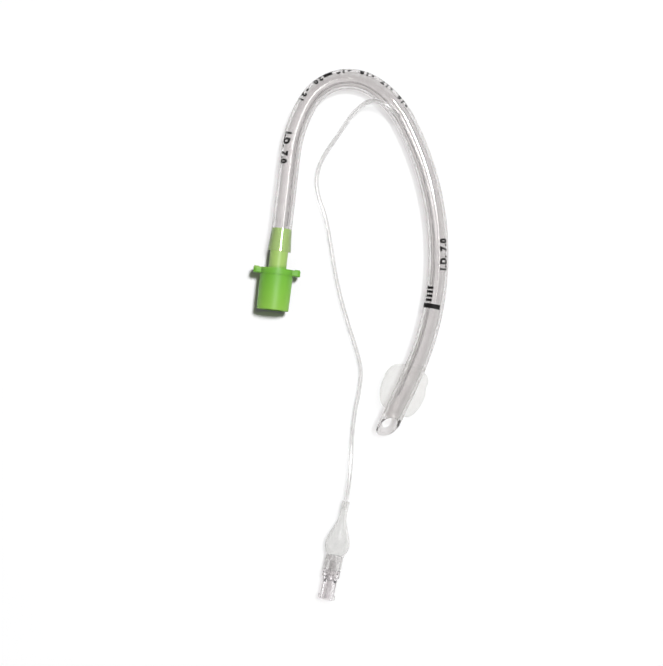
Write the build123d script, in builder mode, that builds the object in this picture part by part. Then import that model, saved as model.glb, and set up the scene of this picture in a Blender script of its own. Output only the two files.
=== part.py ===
from build123d import *
import os
from math import atan, cos, degrees, pi, radians, sin, tan

# Cuffed endotracheal tube of size 7.0, lying on a table as it comes to rest.
# Millimetres, +Z up, table at Z = 0. The arch of the tube points to +Y, its cuffed tip to -Y.
# The plane of the bent tube falls towards LEAN_TOWARDS, a heading in degrees from +X.
LEAN_TOWARDS = 45.0

# Airway tube: a clear extruded tube with a thin inflation channel in its wall
TUBE_BORE = 7.0
TUBE_WALL = 1.25
TUBE_START = (-33.65, 0.11)
TUBE_HEADING = 83.4
STRAIGHT_LEG = 45.6
BENDS = [(65.4, 23.2), (22.1, 92.2), (41.2, 29.8), (135.0, 51.8), (430.0, 2.0)]
TIP_LEG = 20.2
CHANNEL_BORE = 0.8
CHANNEL_ROLL = 60.0
CHANNEL_END_TO_TIP = 20.0
BEVEL_ANGLE = 39.0
BEVEL_ROLL = 20.0
BEVEL_ROUNDING = 0.4
EYE_LENGTH = 6.0
EYE_WIDTH = 4.4
EYE_TO_TIP = 7.4
CUFF_PORT_TO_TIP = 28.0
CUFF_PORT_BORE = 1.0

# Connector: a moulded 15 mm cone with an eared flange and a stub that stretches the tube's end
CONE_MOUTH_DIAMETER = 15.05
CONE_TAPER = 1 / 40
CONE_LENGTH = 16.7
CONE_WALL = 1.3
FLANGE_WIDTH = 22.2
FLANGE_HEIGHT = 16.2
FLANGE_THICKNESS = 2.8
EAR_HEIGHT = 7.0
FLANGE_ROUNDING = 0.5
STUB_DIAMETER = 8.5
STUB_TIP_DIAMETER = TUBE_BORE
STUB_EXPOSED = 8.2
STUB_INSERTION = 10.8
STUB_BORE = 6.2
STUB_LIP_BORE = 6.5
STUB_LIP_LENGTH = 2.0
SOCKET_FLOOR_DIAMETER = 11.9
THROAT_LENGTH = 2.5
GRIP_RIBS = 3
GRIP_RIB_PITCH = 2.0
GRIP_RIB_WIDTH = 0.8
GRIP_RIB_RISE = 0.35

# Cuff: a thin film balloon bonded to the tube by a collar at each end
CUFF_FILM = 0.2
CUFF_START_TO_TIP = 38.0
CUFF_COLLAR = 2.6
CUFF_BULGE_LENGTH = 22.4
CUFF_HALF_WIDTH = 9.5
# Each section of the bulge: share of its length from the arch side, share of its full swell
CUFF_SWELL = [(0.0, 0.0), (0.13, 0.75), (0.42, 1.0), (0.72, 0.94), (0.9, 0.62), (1.0, 0.0)]

# Inflation line: a soft tube that leaves the wall of the airway tube and lies loose on the table
LINE_DIAMETER = 2.1
LINE_BORE = 1.0
LINE_SEAT_STATION = 127.5
LINE_SEAT_DEPTH = 0.05
LINE_LIFT = 15.0
LINE_FIRST_RUN = 8.0
# The route over the table: the points between the run out of the wall and the run into the balloon
LINE_ROUTE = [
    (8.75, 71.54, 9.2),
    (0.75, 65.34, 5.2),
    (-5.85, 55.44, 1.9),
    (-13.45, 44.94, 1.06),
    (-16.45, 36.04, 1.06),
    (-15.95, 27.54, 1.06),
    (-11.75, 16.24, 1.06),
    (-9.35, 2.24, 1.06),
    (-6.55, -15.16, 1.06),
    (-1.85, -32.56, 1.06),
    (2.85, -46.66, 1.06),
    (4.95, -55.56, 1.06),
    (4.25, -64.46, 1.06),
    (1.35, -77.66, 1.06),
    (0.25, -92.66, 1.3),
    (-0.25, -102.66, 3.1),
]
LINE_LEAD_IN = 5.0
LINE_INSERTION = 4.0

# Pilot balloon and valve: one straight axis that lies level on the table
PILOT_START = (-2.25, -117.56)
PILOT_HEADING = 258.4
NECK_DIAMETER = 3.6
NECK_LENGTH = 8.6
BALLOON_FILM = 0.25
BALLOON_LENGTH = 17.4
# Each section of the balloon: share of its length, half its width, half its height
BALLOON_SECTIONS = [(0.12, 2.5, 2.3), (0.32, 4.1, 3.2), (0.58, 5.75, 3.9), (0.78, 5.55, 4.0)]
SLEEVE_LENGTH = 6.2
SLEEVE_WALL = 0.4

# One-way valve in the end of the balloon: base, housing with a syringe socket, plunger, seal, spring
VALVE_BASE_DIAMETER = 7.4
VALVE_NOSE = 1.0
SPIGOT_DIAMETER = 6.0
SPIGOT_LENGTH = 1.8
PORT_BORE = 1.8
PORT_LENGTH = 2.6
SPRING_WELL_BORE = 4.2
BARE_BASE = 0.7
SHOULDER_DIAMETER = 8.2
SHOULDER_LENGTH = 3.3
BODY_DIAMETER = 6.7
BODY_TAPER_LENGTH = 0.8
SEAL_CHAMBER_BORE = 5.2
SEAL_CHAMBER_LENGTH = 2.9
SEAT_THICKNESS = 1.2
SEAT_BORE = 2.7
SOCKET_DEPTH = 8.0
SOCKET_MOUTH_DIAMETER = 4.3
SOCKET_TAPER = 0.06
LUG_SPAN = 7.9
LUG_WIDTH = 2.6
LUG_LENGTH = 1.7
SEAL_THICKNESS = 1.4
SEAL_DIAMETER = 4.4
STEM_DIAMETER = 2.0
HEAD_DIAMETER = 2.6
HEAD_LENGTH = 5.4
HEAD_RIB = 0.9
HEAD_RECESS = 1.2
PLUNGER_FLANGE_DIAMETER = 3.7
PLUNGER_FLANGE_THICKNESS = 1.0
GUIDE_DIAMETER = 1.8
GUIDE_LENGTH = 2.4
SPRING_WIRE = 0.32
SPRING_TURNS = 6
SPRING_DIAMETER = 2.9

TUBE_DIAMETER = TUBE_BORE + 2 * TUBE_WALL
TUBE_RADIUS = TUBE_DIAMETER / 2
os.makedirs("parts", exist_ok=True)


def section_plane(origin, outward, axis_direction):
    """A plane through an axis, whose local X is outward and whose local Y runs along the axis."""
    return Plane(origin=origin, x_dir=outward, z_dir=outward.cross(axis_direction))


def bend(radius, turn, start, heading):
    """The point and heading where a clockwise bend ends."""
    away = radians(heading)
    later = radians(heading - turn)
    x = start[0] + radius * (sin(away) - sin(later))
    y = start[1] + radius * (cos(later) - cos(away))
    return (x, y), heading - turn


# The tube's centreline lies in one plane. It leans from the flange of the connector, which stands on
# the table, down to the shoulder of the arch, where the tube touches the table.
with BuildLine() as flat_centreline:
    place, heading = (0.0, 0.0), TUBE_HEADING
    leg = Line(place, (STRAIGHT_LEG * cos(radians(heading)), STRAIGHT_LEG * sin(radians(heading))))
    place = (leg @ 1).X, (leg @ 1).Y
    for bend_radius, turn in BENDS:
        JernArc(start=place, tangent=(cos(radians(heading)), sin(radians(heading))),
                radius=bend_radius, arc_size=-turn)
        place, heading = bend(bend_radius, turn, place, heading)
    Line(place, (place[0] + TIP_LEG * cos(radians(heading)), place[1] + TIP_LEG * sin(radians(heading))))

flat_wire = flat_centreline.wire()
fall_to_arch = flat_wire.rotate(Axis.Z, -LEAN_TOWARDS).bounding_box().max.X
fall_from_flange = STUB_EXPOSED * cos(radians(TUBE_HEADING - LEAN_TOWARDS))
lean_slope = (FLANGE_HEIGHT / 2 - TUBE_RADIUS) / (fall_to_arch + fall_from_flange)
lean = degrees(atan(lean_slope))
lean_axis = Axis((0, 0, 0), (-sin(radians(LEAN_TOWARDS)), cos(radians(LEAN_TOWARDS)), 0))
bend_plane = Plane(
    origin=(TUBE_START[0], TUBE_START[1], TUBE_RADIUS + fall_to_arch * lean_slope),
    x_dir=Vector(1, 0, 0).rotate(lean_axis, lean),
    z_dir=Vector(0, 0, 1).rotate(lean_axis, lean),
)
up = bend_plane.z_dir
centreline = bend_plane.from_local_coords(flat_wire)
tube_length = centreline.length


def on_tube(distance):
    """A plane across the tube, at a distance along it from its connector end.

    Its Z axis runs on towards the tip and its X axis points to the inside of the bend.
    """
    share = distance / tube_length
    along = centreline.tangent_at(share)
    return Plane(origin=centreline.position_at(share), x_dir=along.cross(up), z_dir=along)


tube_end = on_tube(0)
tip = on_tube(tube_length)
stub_axis = Axis(tube_end.origin, tube_end.z_dir)

# Connector, turned about the tube's first straight leg. Y = 0 is the tube's end, the mouth is at -Y.
flange_near = -STUB_EXPOSED
flange_far = flange_near - FLANGE_THICKNESS
mouth = flange_far - CONE_LENGTH
cone_root_radius = CONE_MOUTH_DIAMETER / 2 + CONE_LENGTH * CONE_TAPER / 2
cone_mouth_radius = CONE_MOUTH_DIAMETER / 2
stub_tip_radius = STUB_TIP_DIAMETER / 2
connector_section = section_plane(tube_end.origin, tube_end.x_dir, tube_end.z_dir)
with BuildPart() as connector:
    with BuildSketch(connector_section):
        with BuildLine():
            Polyline(
                (0, STUB_INSERTION),
                (stub_tip_radius, STUB_INSERTION),
                (STUB_DIAMETER / 2, 0),
                (STUB_DIAMETER / 2, flange_near),
                (cone_root_radius, flange_near),
                (cone_root_radius, flange_far),
                (cone_mouth_radius, mouth),
                (0, mouth),
                close=True,
            )
        make_face()
    revolve(axis=stub_axis)
    with BuildSketch(Plane(origin=tube_end.origin + tube_end.z_dir * flange_far,
                           x_dir=tube_end.x_dir, z_dir=tube_end.z_dir)) as flange_outline:
        Rectangle(FLANGE_WIDTH, EAR_HEIGHT)
        fillet(flange_outline.vertices(), radius=EAR_HEIGHT / 4)
        Circle(FLANGE_HEIGHT / 2)
    extrude(amount=FLANGE_THICKNESS)
    ear_corners = (
        connector.edges()
        .filter_by(lambda edge: edge.length > EAR_HEIGHT / 3)
        .filter_by(lambda edge: abs(abs((edge.center() - tube_end.origin).dot(tube_end.x_dir))
                                    - FLANGE_WIDTH / 2) < FLANGE_ROUNDING)
    )
    fillet(ear_corners, radius=FLANGE_ROUNDING)
    ear_width = FLANGE_WIDTH / 2 - FLANGE_HEIGHT / 2
    for side in (-1, 1):
        ear_middle = side * (FLANGE_HEIGHT / 2 + ear_width / 2)
        rib_face = Plane(
            origin=tube_end.origin + tube_end.z_dir * flange_near + tube_end.x_dir * ear_middle,
            x_dir=tube_end.x_dir,
            z_dir=tube_end.z_dir,
        )
        with BuildSketch(rib_face):
            with GridLocations(0, GRIP_RIB_PITCH, 1, GRIP_RIBS):
                SlotOverall(ear_width * 0.8, GRIP_RIB_WIDTH)
        extrude(amount=GRIP_RIB_RISE)
    # The passage: a wide socket behind the mouth, a short funnel, then the bore of the stub
    socket_floor = flange_far - THROAT_LENGTH
    with BuildSketch(connector_section):
        with BuildLine():
            Polyline(
                (0, mouth),
                (cone_mouth_radius - CONE_WALL, mouth),
                (SOCKET_FLOOR_DIAMETER / 2, socket_floor),
                (STUB_BORE / 2, flange_near),
                (STUB_BORE / 2, STUB_INSERTION - STUB_LIP_LENGTH),
                (STUB_LIP_BORE / 2, STUB_INSERTION),
                (0, STUB_INSERTION),
                close=True,
            )
        make_face()
    revolve(axis=stub_axis, mode=Mode.SUBTRACT)
    mouth_edges = (
        connector.edges()
        .filter_by(GeomType.CIRCLE)
        .filter_by(lambda edge: abs((edge.center() - tube_end.origin).dot(tube_end.z_dir) - mouth) < 0.01)
    )
    fillet(mouth_edges, radius=CONE_WALL / 4)
connector.part.label = "connector"

# Tube: a stretched end over the stub, the bent length with its channel, and a plain tip
channel_offset = (TUBE_BORE + TUBE_WALL) / 2
channel_x = channel_offset * cos(radians(CHANNEL_ROLL))
channel_y = channel_offset * sin(radians(CHANNEL_ROLL))


def channel_place(distance):
    """The middle of the wall where the channel runs, and the outward direction there."""
    across = on_tube(distance)
    outward = across.x_dir * cos(radians(CHANNEL_ROLL)) + up * sin(radians(CHANNEL_ROLL))
    return across.origin + outward * channel_offset, outward


bevel_side = up * cos(radians(BEVEL_ROLL)) - tip.x_dir * sin(radians(BEVEL_ROLL))
bevel_rise = radians(90 - BEVEL_ANGLE)
bevel_normal = tip.z_dir * cos(bevel_rise) + bevel_side * sin(bevel_rise)
bevel_plane = Plane(origin=tip.origin - bevel_side * TUBE_RADIUS, z_dir=bevel_normal)
eye_plane = Plane(origin=tip.origin - tip.z_dir * EYE_TO_TIP, x_dir=tip.z_dir, z_dir=-bevel_side)
port_middle, port_outward = channel_place(tube_length - CUFF_PORT_TO_TIP)
cuff_port_plane = Plane(origin=port_middle, x_dir=tip.z_dir, z_dir=port_outward)

# The inflation line starts in a groove that opens the channel, and rises out of it at a low angle
groove_middle, groove_outward = channel_place(LINE_SEAT_STATION)
groove_back = -on_tube(LINE_SEAT_STATION).z_dir
line_rise = radians(LINE_LIFT)
line_start = groove_middle + groove_outward * (TUBE_RADIUS - LINE_SEAT_DEPTH - channel_offset)
line_direction = groove_back * cos(line_rise) + groove_outward * sin(line_rise)
line_seat = Plane(origin=line_start, x_dir=up.cross(line_direction), z_dir=line_direction)

with BuildPart() as tube:
    with BuildSketch(connector_section):
        with BuildLine():
            Polyline(
                (STUB_DIAMETER / 2, 0),
                (STUB_DIAMETER / 2 + TUBE_WALL, 0),
                (TUBE_RADIUS, STUB_INSERTION),
                (TUBE_BORE / 2, STUB_INSERTION),
                close=True,
            )
        make_face()
    revolve(axis=stub_axis)
    bent_length = centreline.trim(STUB_INSERTION / tube_length, 1 - CHANNEL_END_TO_TIP / tube_length)
    with BuildSketch(on_tube(STUB_INSERTION)):
        Circle(TUBE_RADIUS)
        Circle(TUBE_BORE / 2, mode=Mode.SUBTRACT)
        with Locations((channel_x, -channel_y)):
            Circle(CHANNEL_BORE / 2, mode=Mode.SUBTRACT)
    sweep(path=bent_length)
    with BuildSketch(on_tube(tube_length - CHANNEL_END_TO_TIP)):
        Circle(TUBE_RADIUS)
        Circle(TUBE_BORE / 2, mode=Mode.SUBTRACT)
    extrude(amount=CHANNEL_END_TO_TIP)
    split(bisect_by=bevel_plane, keep=Keep.BOTTOM)
    with BuildSketch(eye_plane):
        SlotOverall(EYE_LENGTH, EYE_WIDTH)
    extrude(amount=TUBE_DIAMETER, mode=Mode.SUBTRACT)
    with BuildSketch(cuff_port_plane):
        Circle(CUFF_PORT_BORE / 2)
    extrude(amount=TUBE_WALL, mode=Mode.SUBTRACT)
    with BuildSketch(line_seat):
        Circle(LINE_DIAMETER / 2)
    extrude(amount=LINE_FIRST_RUN, mode=Mode.SUBTRACT)
    rim = (
        tube.edges()
        .filter_by(lambda edge: abs((edge.center() - bevel_plane.origin).dot(bevel_normal)) < 0.01)
    )
    fillet(rim, radius=BEVEL_ROUNDING)
tube.part.label = "tube"

# Cuff: a film that stands off the tube between two collars, as low as the table lets it
bulge_start = tube_length - CUFF_START_TO_TIP + CUFF_COLLAR
widest_share = max(CUFF_SWELL, key=lambda section: section[1])[0]
widest_place = on_tube(bulge_start + widest_share * CUFF_BULGE_LENGTH).origin
cuff_half_height = widest_place.Z / cos(radians(lean))
collar_radius = TUBE_RADIUS + CUFF_FILM


def swell_to(full, share, wall):
    """Half the cuff's size at a section: from the collar's radius to its full half size."""
    return collar_radius + (full - collar_radius) * share - wall


with BuildPart() as cuff:
    for wall, joining in ((0, Mode.ADD), (CUFF_FILM, Mode.SUBTRACT)):
        for length_share, swell in CUFF_SWELL:
            with BuildSketch(on_tube(bulge_start + length_share * CUFF_BULGE_LENGTH)):
                Ellipse(swell_to(CUFF_HALF_WIDTH, swell, wall), swell_to(cuff_half_height, swell, wall))
        loft(mode=joining)
    for collar_start in (bulge_start - CUFF_COLLAR, bulge_start + CUFF_BULGE_LENGTH):
        with BuildSketch(on_tube(collar_start)):
            Circle(collar_radius)
            Circle(TUBE_RADIUS, mode=Mode.SUBTRACT)
        extrude(amount=CUFF_COLLAR)
cuff.part.label = "cuff"

# Pilot axis, level and as high as the valve's shoulder
pilot_direction = Vector(cos(radians(PILOT_HEADING)), sin(radians(PILOT_HEADING)), 0)
pilot_origin = Vector(PILOT_START[0], PILOT_START[1], SHOULDER_DIAMETER / 2)
pilot_axis = Axis(pilot_origin, pilot_direction)
pilot_across = Vector(0, 0, 1).cross(pilot_direction)
pilot_section = section_plane(pilot_origin, pilot_across, pilot_direction)


def on_pilot(distance):
    """A plane across the pilot axis, at a distance from the neck's open end towards the valve."""
    return Plane(origin=pilot_origin + pilot_direction * distance, x_dir=pilot_across,
                 z_dir=pilot_direction)


# Inflation line: straight runs joined by the widest arcs that the runs allow
route = [line_start, line_start + line_direction * LINE_FIRST_RUN]
route += [Vector(*point) for point in LINE_ROUTE]
route += [on_pilot(-LINE_LEAD_IN).origin, on_pilot(LINE_INSERTION).origin]
RUN_SHARE = 0.45
arc_radii = []
for before, corner, after in zip(route, route[1:], route[2:]):
    run_in, run_out = corner - before, after - corner
    half_turn = radians(run_in.get_angle(run_out) / 2)
    arc_radii.append(RUN_SHARE * min(run_in.length, run_out.length) / tan(half_turn))
print("arc radii", [round(radius, 1) for radius in arc_radii])
with BuildLine() as line_path:
    FilletPolyline(*route, radius=arc_radii)
with BuildPart() as inflation_line:
    with BuildSketch(line_seat):
        Circle(LINE_DIAMETER / 2)
        Circle(LINE_BORE / 2, mode=Mode.SUBTRACT)
    sweep(path=line_path.wire())
inflation_line.part.label = "inflation_line"

# Pilot balloon: a neck on the inflation line, a soft bulb, and a sleeve on the valve's base
bulb_start = NECK_LENGTH
bulb_end = bulb_start + BALLOON_LENGTH
sleeve_radius = VALVE_BASE_DIAMETER / 2 + SLEEVE_WALL
neck_radius = NECK_DIAMETER / 2
bulb_outline = [(0.0, neck_radius, neck_radius)] + BALLOON_SECTIONS + [(1.0, sleeve_radius, sleeve_radius)]
with BuildPart() as pilot_balloon:
    for wall, joining in ((0, Mode.ADD), (BALLOON_FILM, Mode.SUBTRACT)):
        for length_share, half_width, half_height in bulb_outline:
            with BuildSketch(on_pilot(bulb_start + length_share * BALLOON_LENGTH)):
                Ellipse(half_width - wall, half_height - wall)
        loft(mode=joining)
    with BuildSketch(on_pilot(0)):
        Circle(neck_radius)
        Circle(LINE_DIAMETER / 2, mode=Mode.SUBTRACT)
    extrude(amount=NECK_LENGTH)
    with BuildSketch(on_pilot(bulb_end)):
        Circle(sleeve_radius)
        Circle(VALVE_BASE_DIAMETER / 2, mode=Mode.SUBTRACT)
    extrude(amount=SLEEVE_LENGTH)
pilot_balloon.part.label = "pilot_balloon"

# Valve stations along the pilot axis
base_start = bulb_end
base_end = bulb_end + SLEEVE_LENGTH + BARE_BASE
spigot_end = base_end + SPIGOT_LENGTH
seat_start = spigot_end + SEAL_CHAMBER_LENGTH
seat_end = seat_start + SEAT_THICKNESS
rim = seat_end + SOCKET_DEPTH
well_floor = base_start + PORT_LENGTH
shoulder_end = base_end + SHOULDER_LENGTH

with BuildPart() as valve_base:
    with BuildSketch(pilot_section):
        with BuildLine():
            Polyline(
                (PORT_BORE / 2, base_start),
                (VALVE_BASE_DIAMETER / 2 - VALVE_NOSE / 2, base_start),
                (VALVE_BASE_DIAMETER / 2, base_start + VALVE_NOSE),
                (VALVE_BASE_DIAMETER / 2, base_end),
                (SPIGOT_DIAMETER / 2, base_end),
                (SPIGOT_DIAMETER / 2, spigot_end),
                (SPRING_WELL_BORE / 2, spigot_end),
                (SPRING_WELL_BORE / 2, well_floor),
                (PORT_BORE / 2, well_floor),
                close=True,
            )
        make_face()
    revolve(axis=pilot_axis)
valve_base.part.label = "valve_base"

socket_floor_radius = SOCKET_MOUTH_DIAMETER / 2 - SOCKET_DEPTH * SOCKET_TAPER / 2
with BuildPart() as valve_housing:
    with BuildSketch(pilot_section):
        with BuildLine():
            Polyline(
                (SPIGOT_DIAMETER / 2, base_end),
                (SHOULDER_DIAMETER / 2, base_end),
                (SHOULDER_DIAMETER / 2, shoulder_end),
                (BODY_DIAMETER / 2, shoulder_end + BODY_TAPER_LENGTH),
                (BODY_DIAMETER / 2, rim),
                (SOCKET_MOUTH_DIAMETER / 2, rim),
                (socket_floor_radius, seat_end),
                (SEAT_BORE / 2, seat_end),
                (SEAT_BORE / 2, seat_start),
                (SEAL_CHAMBER_BORE / 2, seat_start),
                (SEAL_CHAMBER_BORE / 2, spigot_end),
                (SPIGOT_DIAMETER / 2, spigot_end),
                close=True,
            )
        make_face()
    revolve(axis=pilot_axis)
    with BuildSketch(on_pilot(rim - LUG_LENGTH)) as lug_outline:
        Circle(LUG_SPAN / 2)
        Rectangle(LUG_SPAN, LUG_WIDTH, mode=Mode.INTERSECT)
        Circle(BODY_DIAMETER / 2 - SLEEVE_WALL, mode=Mode.SUBTRACT)
    extrude(amount=LUG_LENGTH)
valve_housing.part.label = "valve_housing"

# Plunger: guide and flange under the seal, a stem through the seat, a ribbed head in the socket
seal_start = seat_start - SEAL_THICKNESS
flange_start = seal_start - PLUNGER_FLANGE_THICKNESS
head_end = rim - HEAD_RECESS
head_start = head_end - HEAD_LENGTH
with BuildPart() as valve_plunger:
    with BuildSketch(pilot_section):
        with BuildLine():
            Polyline(
                (0, flange_start - GUIDE_LENGTH),
                (GUIDE_DIAMETER / 2, flange_start - GUIDE_LENGTH),
                (GUIDE_DIAMETER / 2, flange_start),
                (PLUNGER_FLANGE_DIAMETER / 2, flange_start),
                (PLUNGER_FLANGE_DIAMETER / 2, seal_start),
                (STEM_DIAMETER / 2, seal_start),
                (STEM_DIAMETER / 2, head_start),
                (0, head_start),
                close=True,
            )
        make_face()
    revolve(axis=pilot_axis)
    with BuildSketch(on_pilot(head_start)):
        for turn in (0, 90):
            Rectangle(HEAD_DIAMETER, HEAD_RIB, rotation=turn)
        Circle(HEAD_DIAMETER / 2, mode=Mode.INTERSECT)
    extrude(amount=HEAD_LENGTH)
valve_plunger.part.label = "valve_plunger"

with BuildPart() as valve_seal:
    with BuildSketch(on_pilot(seal_start)):
        Circle(SEAL_DIAMETER / 2)
        Circle(STEM_DIAMETER / 2, mode=Mode.SUBTRACT)
    extrude(amount=SEAL_THICKNESS)
    fillet(valve_seal.edges().sort_by(pilot_axis)[-1], radius=SEAL_THICKNESS / 8)
valve_seal.part.label = "valve_seal"

# Spring: stands on the floor of its well and pushes on the plunger's flange
spring_height = flange_start - well_floor - SPRING_WIRE
with BuildPart() as valve_spring:
    with BuildLine() as coil:
        Helix(
            pitch=spring_height / SPRING_TURNS,
            height=spring_height,
            radius=SPRING_DIAMETER / 2,
            center=on_pilot(well_floor + SPRING_WIRE / 2).origin,
            direction=pilot_direction,
        )
    with BuildSketch(Plane(origin=coil.line @ 0, z_dir=coil.line % 0)):
        Circle(SPRING_WIRE / 2)
    sweep(path=coil.line, is_frenet=True)
valve_spring.part.label = "valve_spring"

for piece in (connector, tube, cuff, inflation_line, pilot_balloon, valve_base, valve_housing,
              valve_plunger, valve_seal, valve_spring):
    export_step(piece.part, f"parts/{piece.part.label}.step")

line_section = pi * (LINE_DIAMETER**2 - LINE_BORE**2) / 4
print("line length", round(line_path.wire().length, 1), "volume over section times length",
      round(inflation_line.part.volume / (line_section * line_path.wire().length), 4))
print("tube length", round(tube_length, 1), "lean", round(lean, 2))
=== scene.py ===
"""A cuffed endotracheal tube with its inflation line and pilot balloon, lying on a white table."""

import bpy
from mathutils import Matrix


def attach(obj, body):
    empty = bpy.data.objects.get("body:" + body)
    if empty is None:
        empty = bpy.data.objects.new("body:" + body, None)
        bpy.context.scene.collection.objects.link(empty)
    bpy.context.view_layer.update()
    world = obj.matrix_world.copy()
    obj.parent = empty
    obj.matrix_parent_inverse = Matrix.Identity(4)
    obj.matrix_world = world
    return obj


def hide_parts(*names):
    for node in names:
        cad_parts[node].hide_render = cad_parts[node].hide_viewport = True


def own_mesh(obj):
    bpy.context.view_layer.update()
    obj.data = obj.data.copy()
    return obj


bl_info = {
    "name": "Endotracheal tube",
    "version": (1, 0, 0),
    "blender": (4, 5, 0),
    "location": "3D View > Sidebar > Airway",
    "description": "Dresses the packed endotracheal tube with its films, clear plastics and printed marks",
    "category": "Object",
}

from math import cos, exp, hypot, pi, radians, sin, sqrt

import bmesh
import bpy
from bpy.props import FloatProperty, FloatVectorProperty, IntProperty, PointerProperty
from mathutils import Matrix, Vector

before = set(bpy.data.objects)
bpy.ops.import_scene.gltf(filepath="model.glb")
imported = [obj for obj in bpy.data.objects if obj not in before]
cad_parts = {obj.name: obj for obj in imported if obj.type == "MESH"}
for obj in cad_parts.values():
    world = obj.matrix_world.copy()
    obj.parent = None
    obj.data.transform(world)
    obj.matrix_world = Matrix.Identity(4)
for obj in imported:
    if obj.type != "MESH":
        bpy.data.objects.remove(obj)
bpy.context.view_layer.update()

MM = 0.001
AIRWAY = "airway"

# Bends of the tube after its straight leg, from the connector on: radius and turn, all clockwise
BENDS = (
    (65.4 * MM, 23.2),
    (22.1 * MM, 92.2),
    (41.2 * MM, 29.8),
    (135.0 * MM, 51.8),
    (430.0 * MM, 2.0),
)

# The inflation line's route in millimetres, from the tube's wall to the pilot balloon's neck
LINE_ROUTE = (
    (22.44, 62.929, 8.948),
    (17.683, 69.116, 10.706),
    (8.75, 71.54, 9.2),
    (0.75, 65.34, 5.2),
    (-5.85, 55.44, 1.9),
    (-13.45, 44.94, 1.06),
    (-16.45, 36.04, 1.06),
    (-15.95, 27.54, 1.06),
    (-11.75, 16.24, 1.06),
    (-9.35, 2.24, 1.06),
    (-6.55, -15.16, 1.06),
    (-1.85, -32.56, 1.06),
    (2.85, -46.66, 1.06),
    (4.95, -55.56, 1.06),
    (4.25, -64.46, 1.06),
    (1.35, -77.66, 1.06),
    (0.25, -92.66, 1.3),
    (-0.25, -102.66, 3.1),
    (-1.245, -112.662, 4.1),
    (-3.054, -121.478, 4.1),
)

# Printed marks: text, its middle along the tube in millimetres, its roll from the top inwards in degrees
DEPTH_NUMBERS = (
    ("•16", 122.4, -52.0),
    ("•17", 112.8, -52.0),
    ("•18", 103.1, -50.0),
    ("•19", 93.2, -48.0),
    ("20", 82.0, -46.0),
    ("•21", 73.7, -46.0),
)
SIZE_NUMBERS = (("I.D. 7.0", 195.9, -30.0), ("I.D. 7.0", 48.4, -40.0))

# Bars of print across the tube, in millimetres along it, and half the width of one
BAR_STATIONS = (211.8, 213.7, 215.7, 217.7)
BAR_HALF_WIDTH = 0.6

# How finely the long meshes are cut
TUBE_SECTIONS = 230
CHANNEL_SECTIONS = 180
CUFF_SECTIONS = 90

# Small fixed sizes
CUT_ALLOWANCE = 3 * MM
FOLD_DEPTH = 0.16 * MM
FINE_FOLD_DEPTH = 0.07 * MM
DENT_DEPTH = 0.8 * MM
STUB_GRIP = 0.08 * MM
RIM_ROUNDING = 0.4 * MM
CLEAR_TIP = 12.0 * MM
CHANNEL_TO_TIP = 20.5 * MM
INK_LIFT = 0.02 * MM
INK_WEIGHT = 0.1
LETTER_PITCH = 2.3
BALLOON_WALL = 0.2
SPRING_FLOOR = 28.6 * MM
TOWARDS_KEY = Vector((0.24, 0.23, 1.0)).normalized()
SOFTBOX_DISTANCE = 0.9
SENSOR = 36.0


def length_setting(name, description, millimetres):
    """A size that a user may change."""
    return FloatProperty(name=name, description=description, default=millimetres * MM, unit="LENGTH")


def angle_setting(name, description, degrees):
    """A direction or turn that a user may change."""
    return FloatProperty(name=name, description=description, default=radians(degrees), unit="ROTATION")


def place_setting(name, description, millimetres):
    """A point that a user may change."""
    point = tuple(value * MM for value in millimetres)
    return FloatVectorProperty(name=name, description=description, default=point, subtype="TRANSLATION")


def colour_setting(name, description, colour):
    """A colour that a user may change."""
    return FloatVectorProperty(name=name, description=description, default=colour, subtype="COLOR",
                               min=0, max=1)


class TubeSettings(bpy.types.PropertyGroup):
    """Sizes and colours of the clear tube."""

    bore: length_setting("Bore", "Inner diameter of the tube", 7.0)
    wall: length_setting("Wall", "Thickness of the tube's wall", 1.25)
    start: place_setting("Start", "Middle of the connector end", (-33.65, 0.11, 7.871))
    heading: angle_setting("Heading", "Direction of the straight leg", 83.4)
    lean: angle_setting("Lean", "Fall of the bent tube's plane", 2.041)
    lean_towards: angle_setting("Lean towards", "Direction in which the plane falls", 45.0)
    straight_leg: length_setting("Straight leg", "Length before the first bend", 45.6)
    tip_leg: length_setting("Tip leg", "Length after the last bend", 20.2)
    stub_diameter: length_setting("Stub diameter", "Connector stub in the tube's end", 8.5)
    stub_insertion: length_setting("Stub insertion", "Length of the stretched end", 10.8)
    bevel: angle_setting("Bevel", "Angle between the tip's cut and the tube", 39.0)
    bevel_roll: angle_setting("Bevel roll", "Turn of the cut from the top outwards", 20.0)
    eye_length: length_setting("Eye length", "Side eye along the tube", 6.0)
    eye_width: length_setting("Eye width", "Side eye across the tube", 4.4)
    eye_to_tip: length_setting("Eye to tip", "Middle of the side eye to the tip", 7.4)
    channel_bore: length_setting("Channel", "Inflation channel in the wall", 0.8)
    channel_roll: angle_setting("Channel roll", "Turn of the channel from the inside up", 60.0)
    tint: colour_setting("Tint", "Colour of the clear plastic", (0.815, 0.8, 0.797))
    # Painted edge shade: the clear plastic's colour turns to these greys where the wall is seen edge-on,
    # paler on the tip
    edge_painted_shade: colour_setting("Edge tint", "Colour where the wall is seen edge-on",
                              (0.36, 0.345, 0.345))
    tip_edge_painted_shade: colour_setting("Tip edge tint", "The same, past the cuff", (0.74, 0.725, 0.72))
    ink: colour_setting("Ink", "Colour of the printed marks", (0.012, 0.011, 0.011))
    type_size: length_setting("Type size", "Height of the printed numbers", 3.3)


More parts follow.
